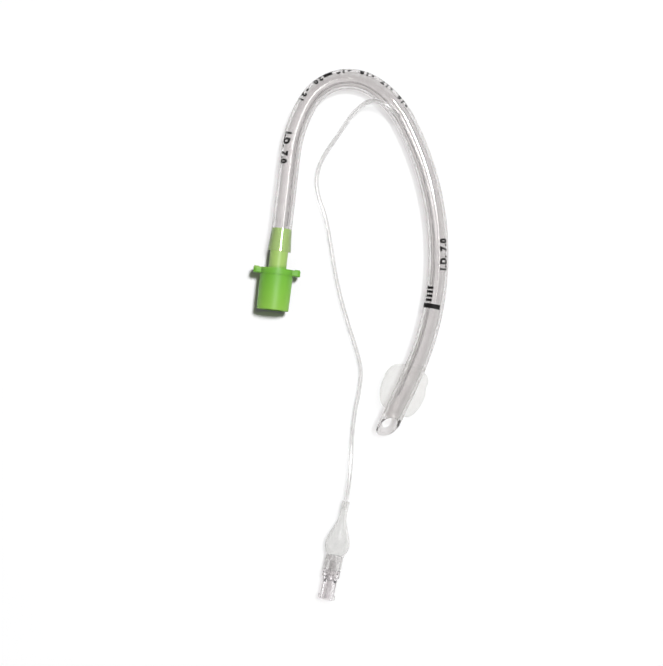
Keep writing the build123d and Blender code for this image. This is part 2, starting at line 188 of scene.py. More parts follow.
class SoftSettings(bpy.types.PropertyGroup):
    """Sizes of the cuff, the inflation line and the pilot balloon."""

    film: length_setting("Film", "Thickness of the cuff's film", 0.2)
    cuff_start: length_setting("Cuff start", "Upper collar's edge to the tip", 38.0)
    cuff_collar: length_setting("Collar", "Length of each bonded collar", 2.6)
    cuff_bulge: length_setting("Bulge", "Length of the cuff between its collars", 22.4)
    cuff_half_width: length_setting("Cuff half width", "Widest reach from the tube's middle", 9.9)
    cuff_inside_reach: length_setting("Cuff reach inside", "Reach towards the bend's inside", 11.8)
    film_colour: colour_setting("Film colour", "Colour of the milky film", (0.945, 0.94, 0.935))
    line_diameter: length_setting("Line diameter", "Outer diameter of the inflation line", 2.1)
    line_bore: length_setting("Line bore", "Inner diameter of the inflation line", 1.0)
    line_length: length_setting("Line length", "Length of the inflation line", 222.7)
    pilot_start: place_setting("Balloon start", "Open end of the balloon's neck", (-2.25, -117.56, 4.1))
    pilot_heading: angle_setting("Balloon heading", "Direction from neck to valve", 258.4)


class HardSettings(bpy.types.PropertyGroup):
    """Colours and sizes of the connector and the valve."""

    green: colour_setting("Green", "Colour of the connector's cone", (0.205, 0.49, 0.054))
    # The mouth and stub colours are paler with painted light that shines through the thin plastic
    mouth_green_painted_light: colour_setting("Green, mouth", "Colour at the cone's mouth", (0.26, 0.53, 0.072))
    green_flange: colour_setting("Green, flange", "Colour of the flange", (0.155, 0.43, 0.043))
    stub_green_painted_light: colour_setting("Green, stub", "Colour of the thin stub", (0.36, 0.55, 0.145))
    valve_colour: colour_setting("Valve plastic", "Colour of the valve's body", (0.96, 0.94, 0.945))
    core_colour: colour_setting("Valve core", "Colour of the plunger", (0.62, 0.60, 0.61))
    spring_turns: IntProperty(name="Spring turns", description="Turns of the valve's spring", default=6,
                              min=3, max=12)
    spring_diameter: length_setting("Spring diameter", "Mean diameter of the spring", 2.9)
    spring_wire: length_setting("Spring wire", "Diameter of the spring's wire", 0.32)
    spring_length: length_setting("Spring length", "Height of the spring at rest", 6.28)


class StageSettings(bpy.types.PropertyGroup):
    """Camera, lamps and table."""

    view_centre: place_setting("View centre", "Point in the middle of the picture", (-9.09, -38.16, 7.0))
    view_width: FloatProperty(name="View width", description="Width of the picture at the object",
                              default=0.3116, unit="LENGTH")
    camera_height: FloatProperty(name="Camera height", description="Height above the object",
                                 default=0.8, unit="LENGTH")
    key_strength: FloatProperty(name="Key", description="Strength of the key lamp", default=2.95)
    fill_strength: FloatProperty(name="Fill", description="Strength of the world's even light",
                                 default=0.09)
    glass_surround: FloatProperty(name="Glass surround", description="Grey that clear parts show",
                                  default=0.5)
    glass_horizon: FloatProperty(name="Glass horizon", description="The same, low down around the table",
                                 default=0.12, min=0)
    table_colour: colour_setting("Table", "Colour of the table", (0.92, 0.92, 0.92))


def mesh_object(name, mesh):
    """A new object in the scene that shows this mesh."""
    thing = bpy.data.objects.new(name, mesh)
    bpy.context.scene.collection.objects.link(thing)
    return thing


def plain_copy(source, name):
    """The evaluated shape of an object as a plain mesh object. The source is removed."""
    bpy.context.view_layer.update()
    depsgraph = bpy.context.evaluated_depsgraph_get()
    mesh = bpy.data.meshes.new_from_object(source.evaluated_get(depsgraph))
    mesh.name = name
    bpy.data.objects.remove(source)
    return mesh_object(name, mesh)


def smooth_faces(mesh, angle):
    """Smooth shading that keeps edges sharper than the angle, in degrees."""
    mesh.shade_smooth()
    mesh.set_sharp_from_angle(angle=radians(angle))


def add_rings(work, rings, closed=False):
    """Joins rings of points to a skin. A closed skin runs from the last ring back to the first."""
    rows = [[work.verts.new(point) for point in ring] for ring in rings]
    pairs = list(zip(rows, rows[1:]))
    if closed:
        pairs.append((rows[-1], rows[0]))
    for row, later in pairs:
        for i in range(len(row)):
            k = (i + 1) % len(row)
            work.faces.new((row[i], row[k], later[k], later[i]))
    if not closed:
        work.faces.new(list(reversed(rows[0])))
        work.faces.new(rows[-1])


def ring_mesh(name, skins):
    """A mesh of one or more skins, each (rings, closed), with all faces pointing outwards."""
    work = bmesh.new()
    for rings, closed in skins:
        add_rings(work, rings, closed)
    bmesh.ops.recalc_face_normals(work, faces=work.faces)
    mesh = bpy.data.meshes.new(name)
    work.to_mesh(mesh)
    work.free()
    return mesh


def tube_length():
    """Length of the tube's centreline."""
    tube = bpy.context.scene.airway_tube
    return tube.straight_leg + sum(radius * radians(turn) for radius, turn in BENDS) + tube.tip_leg


def tube_place(distance):
    """Origin, forward, inside and up directions at a distance along the tube's centreline."""
    tube = bpy.context.scene.airway_tube
    heading = tube.heading
    step = min(distance, tube.straight_leg)
    x = step * cos(heading)
    y = step * sin(heading)
    left = distance - step
    for radius, turn in BENDS:
        if left <= 0:
            break
        step = min(left, radius * radians(turn))
        later = heading - step / radius
        x += radius * (sin(heading) - sin(later))
        y += radius * (cos(later) - cos(heading))
        heading = later
        left -= step
    if left > 0:
        x += left * cos(heading)
        y += left * sin(heading)
    across = Vector((-sin(tube.lean_towards), cos(tube.lean_towards), 0))
    lean = Matrix.Rotation(tube.lean, 3, across)
    up = lean @ Vector((0, 0, 1))
    forward = lean @ Vector((cos(heading), sin(heading), 0))
    return Vector(tube.start) + lean @ Vector((x, y, 0)), forward, forward.cross(up), up


def stretch(distance):
    """How far the connector's stub widens the tube at a distance from its end."""
    tube = bpy.context.scene.airway_tube
    share = max(0.0, 1 - distance / tube.stub_insertion)
    return (tube.stub_diameter - tube.bore) / 2 * share


def circle(centre, across, upward, radius, count):
    """A ring of points round a centre."""
    ring = []
    for i in range(count):
        turn = 2 * pi * i / count
        ring.append(centre + (across * cos(turn) + upward * sin(turn)) * radius)
    return ring


def tube_ring(distance, radius, count=80):
    """A ring of points round the tube's centreline."""
    origin, _, inside, up = tube_place(distance)
    return circle(origin, inside, up, radius, count)


def on_surface(distance, roll, lift=0.0):
    """A point on the tube's outside. Roll runs from the top towards the inside of the bend."""
    tube = bpy.context.scene.airway_tube
    origin, _, inside, up = tube_place(distance)
    radius = tube.bore / 2 + tube.wall + stretch(distance) + lift
    return origin + (inside * sin(roll) + up * cos(roll)) * radius


def line_points():
    """The inflation line's own smooth path, read from a spline whose control points are its route."""
    curve = bpy.data.curves.new("line_path", "CURVE")
    curve.dimensions = "3D"
    curve.resolution_u = 12
    spline = curve.splines.new("NURBS")
    spline.points.add(len(LINE_ROUTE) - 1)
    for point, place in zip(spline.points, LINE_ROUTE):
        point.co = (*(Vector(place) * MM), 1.0)
    spline.order_u = 3
    spline.use_endpoint_u = True
    holder = bpy.data.objects.new("line_path", curve)
    bpy.context.scene.collection.objects.link(holder)
    traced = plain_copy(holder, "line_path")
    points = [vertex.co.copy() for vertex in traced.data.vertices]
    bpy.data.objects.remove(traced)
    return points


def swept_rings(points, radius, count=20):
    """Rings round a path, carried along it without a twist."""
    rings = []
    side = None
    for i, point in enumerate(points):
        ahead = points[min(i + 1, len(points) - 1)] - points[max(i - 1, 0)]
        ahead.normalize()
        if side is None:
            side = ahead.cross(Vector((0, 0, 1)))
        side = (side - ahead * side.dot(ahead)).normalized()
        rings.append(circle(point, side, side.cross(ahead), radius, count))
    return rings


def any_ray(tree, *kinds):
    """An output that is 1 for rays of any of these kinds."""
    path = tree.nodes.new("ShaderNodeLightPath")
    found = path.outputs[kinds[0]]
    for kind in kinds[1:]:
        either = tree.nodes.new("ShaderNodeMath")
        either.operation = "MAXIMUM"
        tree.links.new(found, either.inputs[0])
        tree.links.new(path.outputs[kind], either.inputs[1])
        found = either.outputs[0]
    return found


class Shading:
    """A material and the nodes that most of the finishes here share."""

    def __init__(self, name):
        self.material = bpy.data.materials.new(name)
        self.material.use_nodes = True
        self.tree = self.material.node_tree
        self.tree.nodes.clear()
        self.output = self.tree.nodes.new("ShaderNodeOutputMaterial")
        self.place = self.tree.nodes.new("ShaderNodeTexCoord")

    def add(self, kind, **values):
        """A new node with its input values set by name."""
        node = self.tree.nodes.new(kind)
        for name, value in values.items():
            node.inputs[name.replace("_", " ")].default_value = value
        return node

    def join(self, start, end):
        self.tree.links.new(start, end)

    def noise(self, scale, detail=3.0):
        """Noise on the object's own coordinates, with its scale per metre."""
        node = self.add("ShaderNodeTexNoise", Scale=scale, Detail=detail)
        self.join(self.place.outputs["Object"], node.inputs["Vector"])
        return node

    def spread(self, source, low, high):
        """Maps a noise to a small range."""
        node = self.add("ShaderNodeMapRange", From_Min=0.3, From_Max=0.7, To_Min=low, To_Max=high)
        self.join(source, node.inputs["Value"])
        return node

    def wear(self, shader, scale, low, high):
        """Roughness that varies in patches."""
        patches = self.spread(self.noise(scale).outputs["Fac"], low, high)
        self.join(patches.outputs["Result"], shader.inputs["Roughness"])

    def drift(self, shader, colour, scale, darker, paler):
        """A colour that varies a little over the surface."""
        mix = self.add("ShaderNodeMix")
        mix.data_type = "RGBA"
        mix.inputs["A"].default_value = (*(c * darker for c in colour), 1)
        mix.inputs["B"].default_value = (*(min(1.0, c * paler) for c in colour), 1)
        self.join(self.noise(scale).outputs["Fac"], mix.inputs["Factor"])
        self.join(mix.outputs["Result"], shader.inputs["Base Color"])

    def uneven(self, shader, scale, strength, distance):
        """Bump from a fine noise on a shader's normal."""
        bump = self.add("ShaderNodeBump", Strength=strength, Distance=distance)
        self.join(self.noise(scale).outputs["Fac"], bump.inputs["Height"])
        self.join(bump.outputs["Normal"], shader.inputs["Normal"])

    def by_slope(self, flat, edge, start=0.3, end=0.9):
        """A colour that changes where the surface turns away. On clear plastics' base colour this paints
        shade along the edges.
        """
        facing = self.add("ShaderNodeLayerWeight", Blend=0.5)
        share = self.add("ShaderNodeMapRange", From_Min=start, From_Max=end)
        self.join(facing.outputs["Facing"], share.inputs["Value"])
        mix = self.add("ShaderNodeMix")
        mix.data_type = "RGBA"
        mix.inputs["A"].default_value = (*flat, 1)
        mix.inputs["B"].default_value = (*edge, 1)
        self.join(share.outputs["Result"], mix.inputs["Factor"])
        return mix.outputs["Result"]

    def let_light_through(self, shader, colour, edge=None):
        """Gives the shader a pale shadow: lamps shine through it in a colour, less at its edges."""
        clear = self.add("ShaderNodeBsdfTransparent", Color=(*colour, 1))
        if edge:
            self.join(self.by_slope(colour, edge, 0.15, 0.95), clear.inputs["Color"])
        mix = self.add("ShaderNodeMixShader")
        self.join(any_ray(self.tree, "Is Shadow Ray", "Is Diffuse Ray"), mix.inputs["Fac"])
        self.join(shader.outputs[0], mix.inputs[1])
        self.join(clear.outputs[0], mix.inputs[2])
        self.join(mix.outputs[0], self.output.inputs["Surface"])


def clear_plastic(name, colour, edge, roughness, shade, shade_edge):
    """Clear soft plastic: refracts, with painted shade darkening its colour at its edges, and a faint
    unevenness of its surface.
    """
    look = Shading(name)
    glass = look.add("ShaderNodeBsdfPrincipled", IOR=1.5, Transmission_Weight=0.95)
    # Painted edge shade: the base colour turns to the darker edge colour where the surface turns away
    look.join(look.by_slope(colour, edge), glass.inputs["Base Color"])
    look.wear(glass, 260.0, roughness * 0.6, roughness * 1.5)
    look.uneven(glass, 300.0, 0.05, 0.0004)
    look.let_light_through(glass, shade, shade_edge)
    return look.material


def milky_film(name, colour, thin, thick, roughness, shade):
    """Thin milky film: see-through face on, paler and denser where it turns away."""
    look = Shading(name)
    clear = look.add("ShaderNodeBsdfTransparent", Color=(0.972, 0.971, 0.967, 1))
    skin = look.add("ShaderNodeBsdfPrincipled", Base_Color=(*colour, 1), Roughness=roughness)
    look.uneven(skin, 700.0, 0.25, 0.0003)
    facing = look.add("ShaderNodeLayerWeight", Blend=0.35)
    cloud = look.spread(look.noise(150.0).outputs["Fac"], thin * 0.3, thin * 2.2)
    dense = look.add("ShaderNodeMapRange", To_Max=thick)
    look.join(facing.outputs["Facing"], dense.inputs["Value"])
    look.join(cloud.outputs["Result"], dense.inputs["To Min"])
    mix = look.add("ShaderNodeMixShader")
    look.join(dense.outputs["Result"], mix.inputs["Fac"])
    look.join(clear.outputs[0], mix.inputs[1])
    look.join(skin.outputs[0], mix.inputs[2])
    look.let_light_through(mix, shade)
    return look.material


def tinted_plastic(name, colour, transmission, roughness, shade):
    """Translucent moulded plastic with a fine satin grain and a slight drift of its colour."""
    look = Shading(name)
    body = look.add("ShaderNodeBsdfPrincipled", IOR=1.5, Transmission_Weight=transmission)
    look.drift(body, colour, 90.0, 0.9, 1.1)
    look.wear(body, 800.0, roughness * 0.8, roughness * 1.2)
    look.let_light_through(body, shade)
    return look.material


def opaque_finish(name, colour, roughness, metallic=0.0, shade=None, specular=0.5):
    """Ink, rubber or wire: one colour that wears a little unevenly."""
    look = Shading(name)
    body = look.add("ShaderNodeBsdfPrincipled", Metallic=metallic, Specular_IOR_Level=specular)
    look.drift(body, colour, 900.0, 0.8, 1.25)
    look.wear(body, 1200.0, roughness * 0.8, roughness * 1.2)
    if shade:
        look.let_light_through(body, shade)
    else:
        look.join(body.outputs[0], look.output.inputs["Surface"])
    return look.material


def dress_node(name, material):
    """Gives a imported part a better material."""
    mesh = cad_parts[name].data
    mesh.materials.clear()
    mesh.materials.append(material)


class AIRWAY_OT_stage(bpy.types.Operator):
    """Camera, lamps, world and white table"""

    bl_idname = "airway.stage"
    bl_label = "Stage"

    def execute(self, context):
        scene = context.scene
        stage = scene.airway_stage
        scene.view_settings.view_transform = "Standard"
        scene.cycles.max_bounces = 32
        scene.cycles.transmission_bounces = 32
        scene.cycles.transparent_max_bounces = 48
        self.camera(scene, stage)
        self.lamps(scene, stage)
        self.world(scene, stage)
        self.table(scene, stage)
        return {"FINISHED"}

    def camera(self, scene, stage):
        lens = bpy.data.cameras.new("camera")
        lens.sensor_fit = "HORIZONTAL"
        lens.sensor_width = SENSOR
        lens.lens = SENSOR * stage.camera_height / stage.view_width
        lens.clip_end = 20.0
        camera = bpy.data.objects.new("camera", lens)
        camera.location = Vector(stage.view_centre) + Vector((0, 0, stage.camera_height))
        scene.collection.objects.link(camera)
        scene.camera = camera

    def lamps(self, scene, stage):
        sun = bpy.data.lights.new("key", "SUN")
        sun.energy = stage.key_strength
        sun.angle = radians(8.0)
        key = bpy.data.objects.new("key", sun)
        aim = TOWARDS_KEY.to_track_quat("Z", "Y").to_euler()
        key.rotation_euler = aim
        scene.collection.objects.link(key)
        softbox = bpy.data.lights.new("softbox", "AREA")
        softbox.energy = 1.0
        softbox.size = 0.22
        box = bpy.data.objects.new("softbox", softbox)
        box.location = Vector(stage.view_centre) + TOWARDS_KEY * SOFTBOX_DISTANCE
        box.rotation_euler = aim
        scene.collection.objects.link(box)

    def world(self, scene, stage):
        world = bpy.data.worlds.new("studio")
        world.use_nodes = True
        tree = world.node_tree
        background = tree.nodes["Background"]
        background.inputs["Color"].default_value = (1, 1, 1, 1)
        through_glass = tree.nodes.new("ShaderNodeMapRange")
        through_glass.inputs["To Min"].default_value = stage.fill_strength
        direction = tree.nodes.new("ShaderNodeTexCoord")
        parts = tree.nodes.new("ShaderNodeSeparateXYZ")
        tree.links.new(direction.outputs["Generated"], parts.inputs["Vector"])
        surround = tree.nodes.new("ShaderNodeMapRange")
        surround.inputs["From Min"].default_value = 0.1
        surround.inputs["From Max"].default_value = 0.6
        surround.inputs["To Min"].default_value = stage.glass_horizon
        surround.inputs["To Max"].default_value = stage.glass_surround
        tree.links.new(parts.outputs["Z"], surround.inputs["Value"])
        tree.links.new(surround.outputs["Result"], through_glass.inputs["To Max"])
        seen_in_glass = any_ray(tree, "Is Transmission Ray", "Is Glossy Ray")
        tree.links.new(seen_in_glass, through_glass.inputs["Value"])
        level = tree.nodes.new("ShaderNodeMapRange")
        level.inputs["To Max"].default_value = 1.0
        tree.links.new(any_ray(tree, "Is Camera Ray"), level.inputs["Value"])
        tree.links.new(through_glass.outputs["Result"], level.inputs["To Min"])
        tree.links.new(level.outputs["Result"], background.inputs["Strength"])
        scene.world = world

    def table(self, scene, stage):
        bpy.ops.mesh.primitive_plane_add(size=6.0, location=(0, 0, -0.0004))
        table = bpy.context.active_object
        table.name = "table"
        look = Shading("white_table")
        surface = look.add("ShaderNodeBsdfDiffuse", Color=(*stage.table_colour, 1))
        glow = look.add("ShaderNodeEmission", Color=(1, 1, 1, 1))
        seen = any_ray(look.tree, "Is Camera Ray", "Is Transmission Ray", "Is Glossy Ray")
        level = look.add("ShaderNodeMath")
        level.operation = "MULTIPLY"
        level.inputs[1].default_value = 0.02
        look.join(seen, level.inputs[0])
        look.join(level.outputs[0], glow.inputs["Strength"])
        both = look.add("ShaderNodeAddShader")
        look.join(surface.outputs[0], both.inputs[0])
        look.join(glow.outputs[0], both.inputs[1])
        look.join(both.outputs[0], look.output.inputs["Surface"])
        table.data.materials.append(look.material)


class AIRWAY_OT_line(bpy.types.Operator):
    """Inflation line from the groove in the wall to the pilot balloon"""

    bl_idname = "airway.inflation_line"
    bl_label = "Inflation line"

    def execute(self, context):
        soft = context.scene.airway_soft
        points = line_points()
        outer = swept_rings(points, soft.line_diameter / 2)
        inner = swept_rings(points, soft.line_bore / 2)
        mesh = ring_mesh("clear_line", [(outer + list(reversed(inner)), True)])
        smooth_faces(mesh, 50.0)
        line = mesh_object("clear_line", mesh)
        # The second colour is painted shade along the line's edges
        mesh.materials.append(clear_plastic("clear_line", (0.89, 0.885, 0.88), (0.42, 0.415, 0.41), 0.14,
                                             (0.96, 0.96, 0.96), (0.85, 0.85, 0.85)))
        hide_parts("inflation_line")
        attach(line, AIRWAY)
        pieces = [bpy.data.objects["soft_balloon"], bpy.data.objects["spring_coil"]]
        pieces += [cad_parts[name] for name in ("valve_base", "valve_housing", "valve_plunger",
                                                     "valve_seal")]
        return {"FINISHED"}


class AIRWAY_OT_tube(bpy.types.Operator):
    """Clear tube with its bore, wall channel, bevelled tip and side eye"""

    bl_idname = "airway.tube"
    bl_label = "Clear tube"

    def execute(self, context):
        tube = context.scene.airway_tube
        length = tube_length()
        inner = tube.bore / 2
        outer = inner + tube.wall
        stations = [tube.stub_insertion * i / 6 for i in range(6)]
        rest = length + CUT_ALLOWANCE - tube.stub_insertion
        stations += [tube.stub_insertion + rest * i / TUBE_SECTIONS for i in range(TUBE_SECTIONS + 1)]
        rings = [tube_ring(d, outer + stretch(d)) for d in stations]
        rings += [tube_ring(d, inner + stretch(d) - self.grip(d)) for d in reversed(stations)]
        work = bmesh.new()
        add_rings(work, rings, True)
        bmesh.ops.recalc_face_normals(work, faces=work.faces)
        self.cut_bevel(work, tube, length, outer)
        mesh = bpy.data.meshes.new("clear_tube")
        work.to_mesh(mesh)
        work.free()
        body = mesh_object("tube_body", mesh)
        cutter = self.eye_cutter(tube, length, outer)
        boolean = body.modifiers.new("eye", "BOOLEAN")
        boolean.operation = "DIFFERENCE"
        boolean.solver = "EXACT"
        boolean.object = cutter
        body = plain_copy(body, "clear_tube")
        bpy.data.objects.remove(cutter)
        self.add_channel(body.data, tube, length)
        smooth_faces(body.data, 32.0)
        body.data.materials.clear()
        # Both finishes paint shade along the wall's edges, paler on the tip
        body.data.materials.append(clear_plastic("clear_tube", tube.tint, tube.edge_painted_shade, 0.035,
                                                 (0.985, 0.98, 0.98), (0.74, 0.73, 0.73)))
        body.data.materials.append(clear_plastic("clear_tip", tube.tint, tube.tip_edge_painted_shade, 0.06,
                                                 (0.985, 0.98, 0.98), (0.74, 0.73, 0.73)))
        self.mark_tip(body.data, length - CLEAR_TIP)
        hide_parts("tube")
        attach(body, AIRWAY)
        return {"FINISHED"}

    def mark_tip(self, mesh, start):
        """Gives the plain end past the cuff its own finish: paler painted edge shade and a rougher surface.
        """
        origin, forward, _, _ = tube_place(start)
        for polygon in mesh.polygons:
            reach = polygon.center - origin
            if reach.dot(forward) > 0 and reach.length < 20 * MM:
                polygon.material_index = 1

    def grip(self, distance):
        """How far the wall presses into the connector's stub, so that no air shows between them."""
        tube = bpy.context.scene.airway_tube
        return STUB_GRIP if distance < tube.stub_insertion - 0.1 * MM else 0.0

    def bevel_frame(self, tube, length):
        """The tip's middle, the direction the bevel faces and the normal of its cut."""
        origin, forward, inside, up = tube_place(length)
        side = up * cos(tube.bevel_roll) - inside * sin(tube.bevel_roll)
        rise = pi / 2 - tube.bevel
        return origin, forward, side, forward * cos(rise) + side * sin(rise)

    def cut_bevel(self, work, tube, length, outer):
        """Cuts the tip at a slant, closes the wall and rounds both rims."""
        origin, _, side, normal = self.bevel_frame(tube, length)
        low = origin - side * outer
        everything = list(work.verts) + list(work.edges) + list(work.faces)
        cut = bmesh.ops.bisect_plane(work, geom=everything, plane_co=low, plane_no=normal,
                                     clear_outer=True)
        rims = [item for item in cut["geom_cut"] if isinstance(item, bmesh.types.BMEdge)]
        bmesh.ops.bridge_loops(work, edges=rims)
        bmesh.ops.recalc_face_normals(work, faces=work.faces)
        rims = [edge for edge in rims if edge.is_valid]
        bmesh.ops.bevel(work, geom=rims, offset=RIM_ROUNDING, segments=4, profile=0.5,
                        affect="EDGES")

    def eye_cutter(self, tube, length, outer):
        """A slotted peg that cuts the side eye opposite the bevel."""
        origin, forward, side, _ = self.bevel_frame(tube, length)
        middle = origin - forward * tube.eye_to_tip
        across = side.cross(forward)
        half = tube.eye_width / 2
        reach = tube.eye_length / 2 - half
        outline = []
        for i in range(48):
            turn = 2 * pi * (i + 0.5) / 48
            along = cos(turn) * half + (reach if cos(turn) > 0 else -reach)
            outline.append((along, sin(turn) * half))
        rings = []
        for depth in (0.3 * MM, outer * 1.6):
            centre = middle - side * depth
            rings.append([centre + forward * a + across * b for a, b in outline])
        return mesh_object("eye_cutter", ring_mesh("eye_cutter", [(rings, False)]))

    def add_channel(self, mesh, tube, length):
        """Adds the thin air channel in the wall, whose skin faces the air in it."""
        middle = (tube.bore + tube.wall) / 2
        first = tube.stub_insertion + 1 * MM
        last = length - CHANNEL_TO_TIP
        rings = []
        for i in range(CHANNEL_SECTIONS + 1):
            origin, _, inside, up = tube_place(first + (last - first) * i / CHANNEL_SECTIONS)
            outward = inside * cos(tube.channel_roll) + up * sin(tube.channel_roll)
            around = inside * -sin(tube.channel_roll) + up * cos(tube.channel_roll)
            rings.append(circle(origin + outward * middle, outward, around, tube.channel_bore / 2, 14))
        channel = ring_mesh("channel", [(rings, False)])
        work = bmesh.new()
        work.from_mesh(channel)
        bmesh.ops.reverse_faces(work, faces=work.faces)
        work.from_mesh(mesh)
        work.to_mesh(mesh)
        work.free()
        bpy.data.meshes.remove(channel)


class AIRWAY_OT_print(bpy.types.Operator):
    """Printed numbers, dots, bars and ring on the tube"""

    bl_idname = "airway.printed_marks"
    bl_label = "Printed marks"

    def execute(self, context):
        tube = context.scene.airway_tube
        ink = opaque_finish("black_ink", tube.ink, 0.6, shade=(0.85, 0.85, 0.85), specular=0.1)
        work = bmesh.new()
        for text, station, roll in DEPTH_NUMBERS:
            first = station * MM + (len(text) - 1) * LETTER_PITCH / 2 * MM
            for i, letter in enumerate(text):
                self.wrap_text(work, letter, first - i * LETTER_PITCH * MM, radians(roll),
                               tube.type_size * 0.85, 0.8)
        for text, station, roll in SIZE_NUMBERS:
            self.wrap_text(work, text, station * MM, radians(roll), tube.type_size, 0.84, 1.22)
        self.patch(work, 84.7 * MM, 88.4 * MM, radians(-65), radians(-34))
        for station in BAR_STATIONS:
            self.patch(work, (station - BAR_HALF_WIDTH) * MM, (station + BAR_HALF_WIDTH) * MM,
                       radians(21), radians(66))
        self.patch(work, 219.3 * MM, 221.5 * MM, radians(-34), radians(95))
        mesh = bpy.data.meshes.new("printed_marks")
        work.to_mesh(mesh)
        work.free()
        mesh.shade_smooth()
        marks = mesh_object("printed_marks", mesh)
        mesh.materials.append(ink)
        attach(marks, AIRWAY)
        return {"FINISHED"}

    def patch(self, work, start, end, roll_start, roll_end):
        """A printed bar that lies round the tube."""
        rows = []
        for i in range(4):
            row = []
            for k in range(25):
                roll = roll_start + (roll_end - roll_start) * k / 24
                row.append(work.verts.new(on_surface(start + (end - start) * i / 3, roll, INK_LIFT)))
            rows.append(row)
        for row, later in zip(rows, rows[1:]):
            for k in range(24):
                work.faces.new((row[k], row[k + 1], later[k + 1], later[k]))

    def wrap_text(self, work, text, station, roll, size, squeeze, spacing=1.0):
        """Sets type round the tube. It reads towards the connector, its tops inside the bend."""
        letters = bpy.data.curves.new("letters", "FONT")
        letters.body = text
        letters.size = size * 1.42
        letters.align_x = "CENTER"
        letters.align_y = "CENTER"
        letters.resolution_u = 3
        letters.offset = size * INK_WEIGHT
        letters.space_character = spacing
        holder = bpy.data.objects.new("letters", letters)
        bpy.context.scene.collection.objects.link(holder)
        flat = plain_copy(holder, "letters")
        piece = bmesh.new()
        piece.from_mesh(flat.data)
        bpy.data.objects.remove(flat)
        bmesh.ops.triangulate(piece, faces=piece.faces)
        for _ in range(3):
            long_edges = [edge for edge in piece.edges if edge.calc_length() > 0.45 * MM]
            bmesh.ops.subdivide_edges(piece, edges=long_edges, cuts=1)
        radius = bpy.context.scene.airway_tube.bore / 2 + bpy.context.scene.airway_tube.wall
        for vertex in piece.verts:
            turn = roll + vertex.co.y / radius
            vertex.co = on_surface(station - vertex.co.x * squeeze, turn, INK_LIFT)
        wrapped = bpy.data.meshes.new("wrapped")
        piece.to_mesh(wrapped)
        piece.free()
        work.from_mesh(wrapped)
        bpy.data.meshes.remove(wrapped)


class AIRWAY_OT_cuff(bpy.types.Operator):
    """Slack cuff of thin milky film between two collars"""

    bl_idname = "airway.cuff"
    bl_label = "Cuff"

    def execute(self, context):
        tube = context.scene.airway_tube
        soft = context.scene.airway_soft
        outer = tube.bore / 2 + tube.wall
        upper = tube_length() - soft.cuff_start
        length = soft.cuff_bulge + 2 * soft.cuff_collar
        film = []
        lining = []
        for i in range(CUFF_SECTIONS + 1):
            station = upper + length * i / CUFF_SECTIONS
            share = (station - upper - soft.cuff_collar) / soft.cuff_bulge
            ring = self.section(soft, outer, station, share)
            film.append([point for point, _ in ring])
            lining.append([point - away * soft.film * 0.6 for point, away in ring])
        mesh = ring_mesh("cuff_film", [(film + list(reversed(lining)), True)])
        smooth_faces(mesh, 60.0)
        cuff = mesh_object("cuff_film", mesh)
        mesh.materials.append(milky_film("cuff_film", soft.film_colour, 0.03, 0.1, 0.3,
                                         (0.985, 0.985, 0.984)))
        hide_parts("cuff")
        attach(cuff, AIRWAY)
        return {"FINISHED"}

    def section(self, soft, outer, station, share):
        """A ring of the film: points and their directions away from the tube."""
        origin, _, inside, up = tube_place(station)
        base = outer + soft.film * 0.8
        ring = []
        for k in range(128):
            turn = 2 * pi * k / 128
            reach = base
            if 0 < share < 1:
                reach += self.swell(soft, origin.z, base, turn, share)
            away = inside * cos(turn) + up * sin(turn)
            ring.append((origin + away * reach, away))
        return ring

    def swell(self, soft, height, base, turn, share):
        """How far the film stands off: two lobes in the bend's plane, kept off the table, with folds."""
        sideways = cos(turn)
        inner_side = sideways > 0
        peak = 0.38 if inner_side else 0.52
        rise = share / peak if share < peak else (1 - share) / (1 - peak)
        dome = sqrt(max(0.0, 1 - (1 - rise) ** 2.2))
        half_width = soft.cuff_inside_reach if inner_side else soft.cuff_half_width
        half_height = min(height - 0.25 * MM, soft.cuff_half_width * 0.83)
        full = 1 / hypot(sideways / half_width, sin(turn) / half_height)
        folds = FOLD_DEPTH * sin(turn * 7 + 4 * share)
        folds += FINE_FOLD_DEPTH * sin(turn * 15 - 6 * share + 1)
        folds *= min(1.0, 4 * share * (1 - share) + 0.25)
        dent = DENT_DEPTH * exp(-((share - 0.28) / 0.1) ** 2) * max(0.0, -sideways) ** 6
        reach = (full - base) * dome - abs(folds) * dome - dent
        return max(0.0, reach)


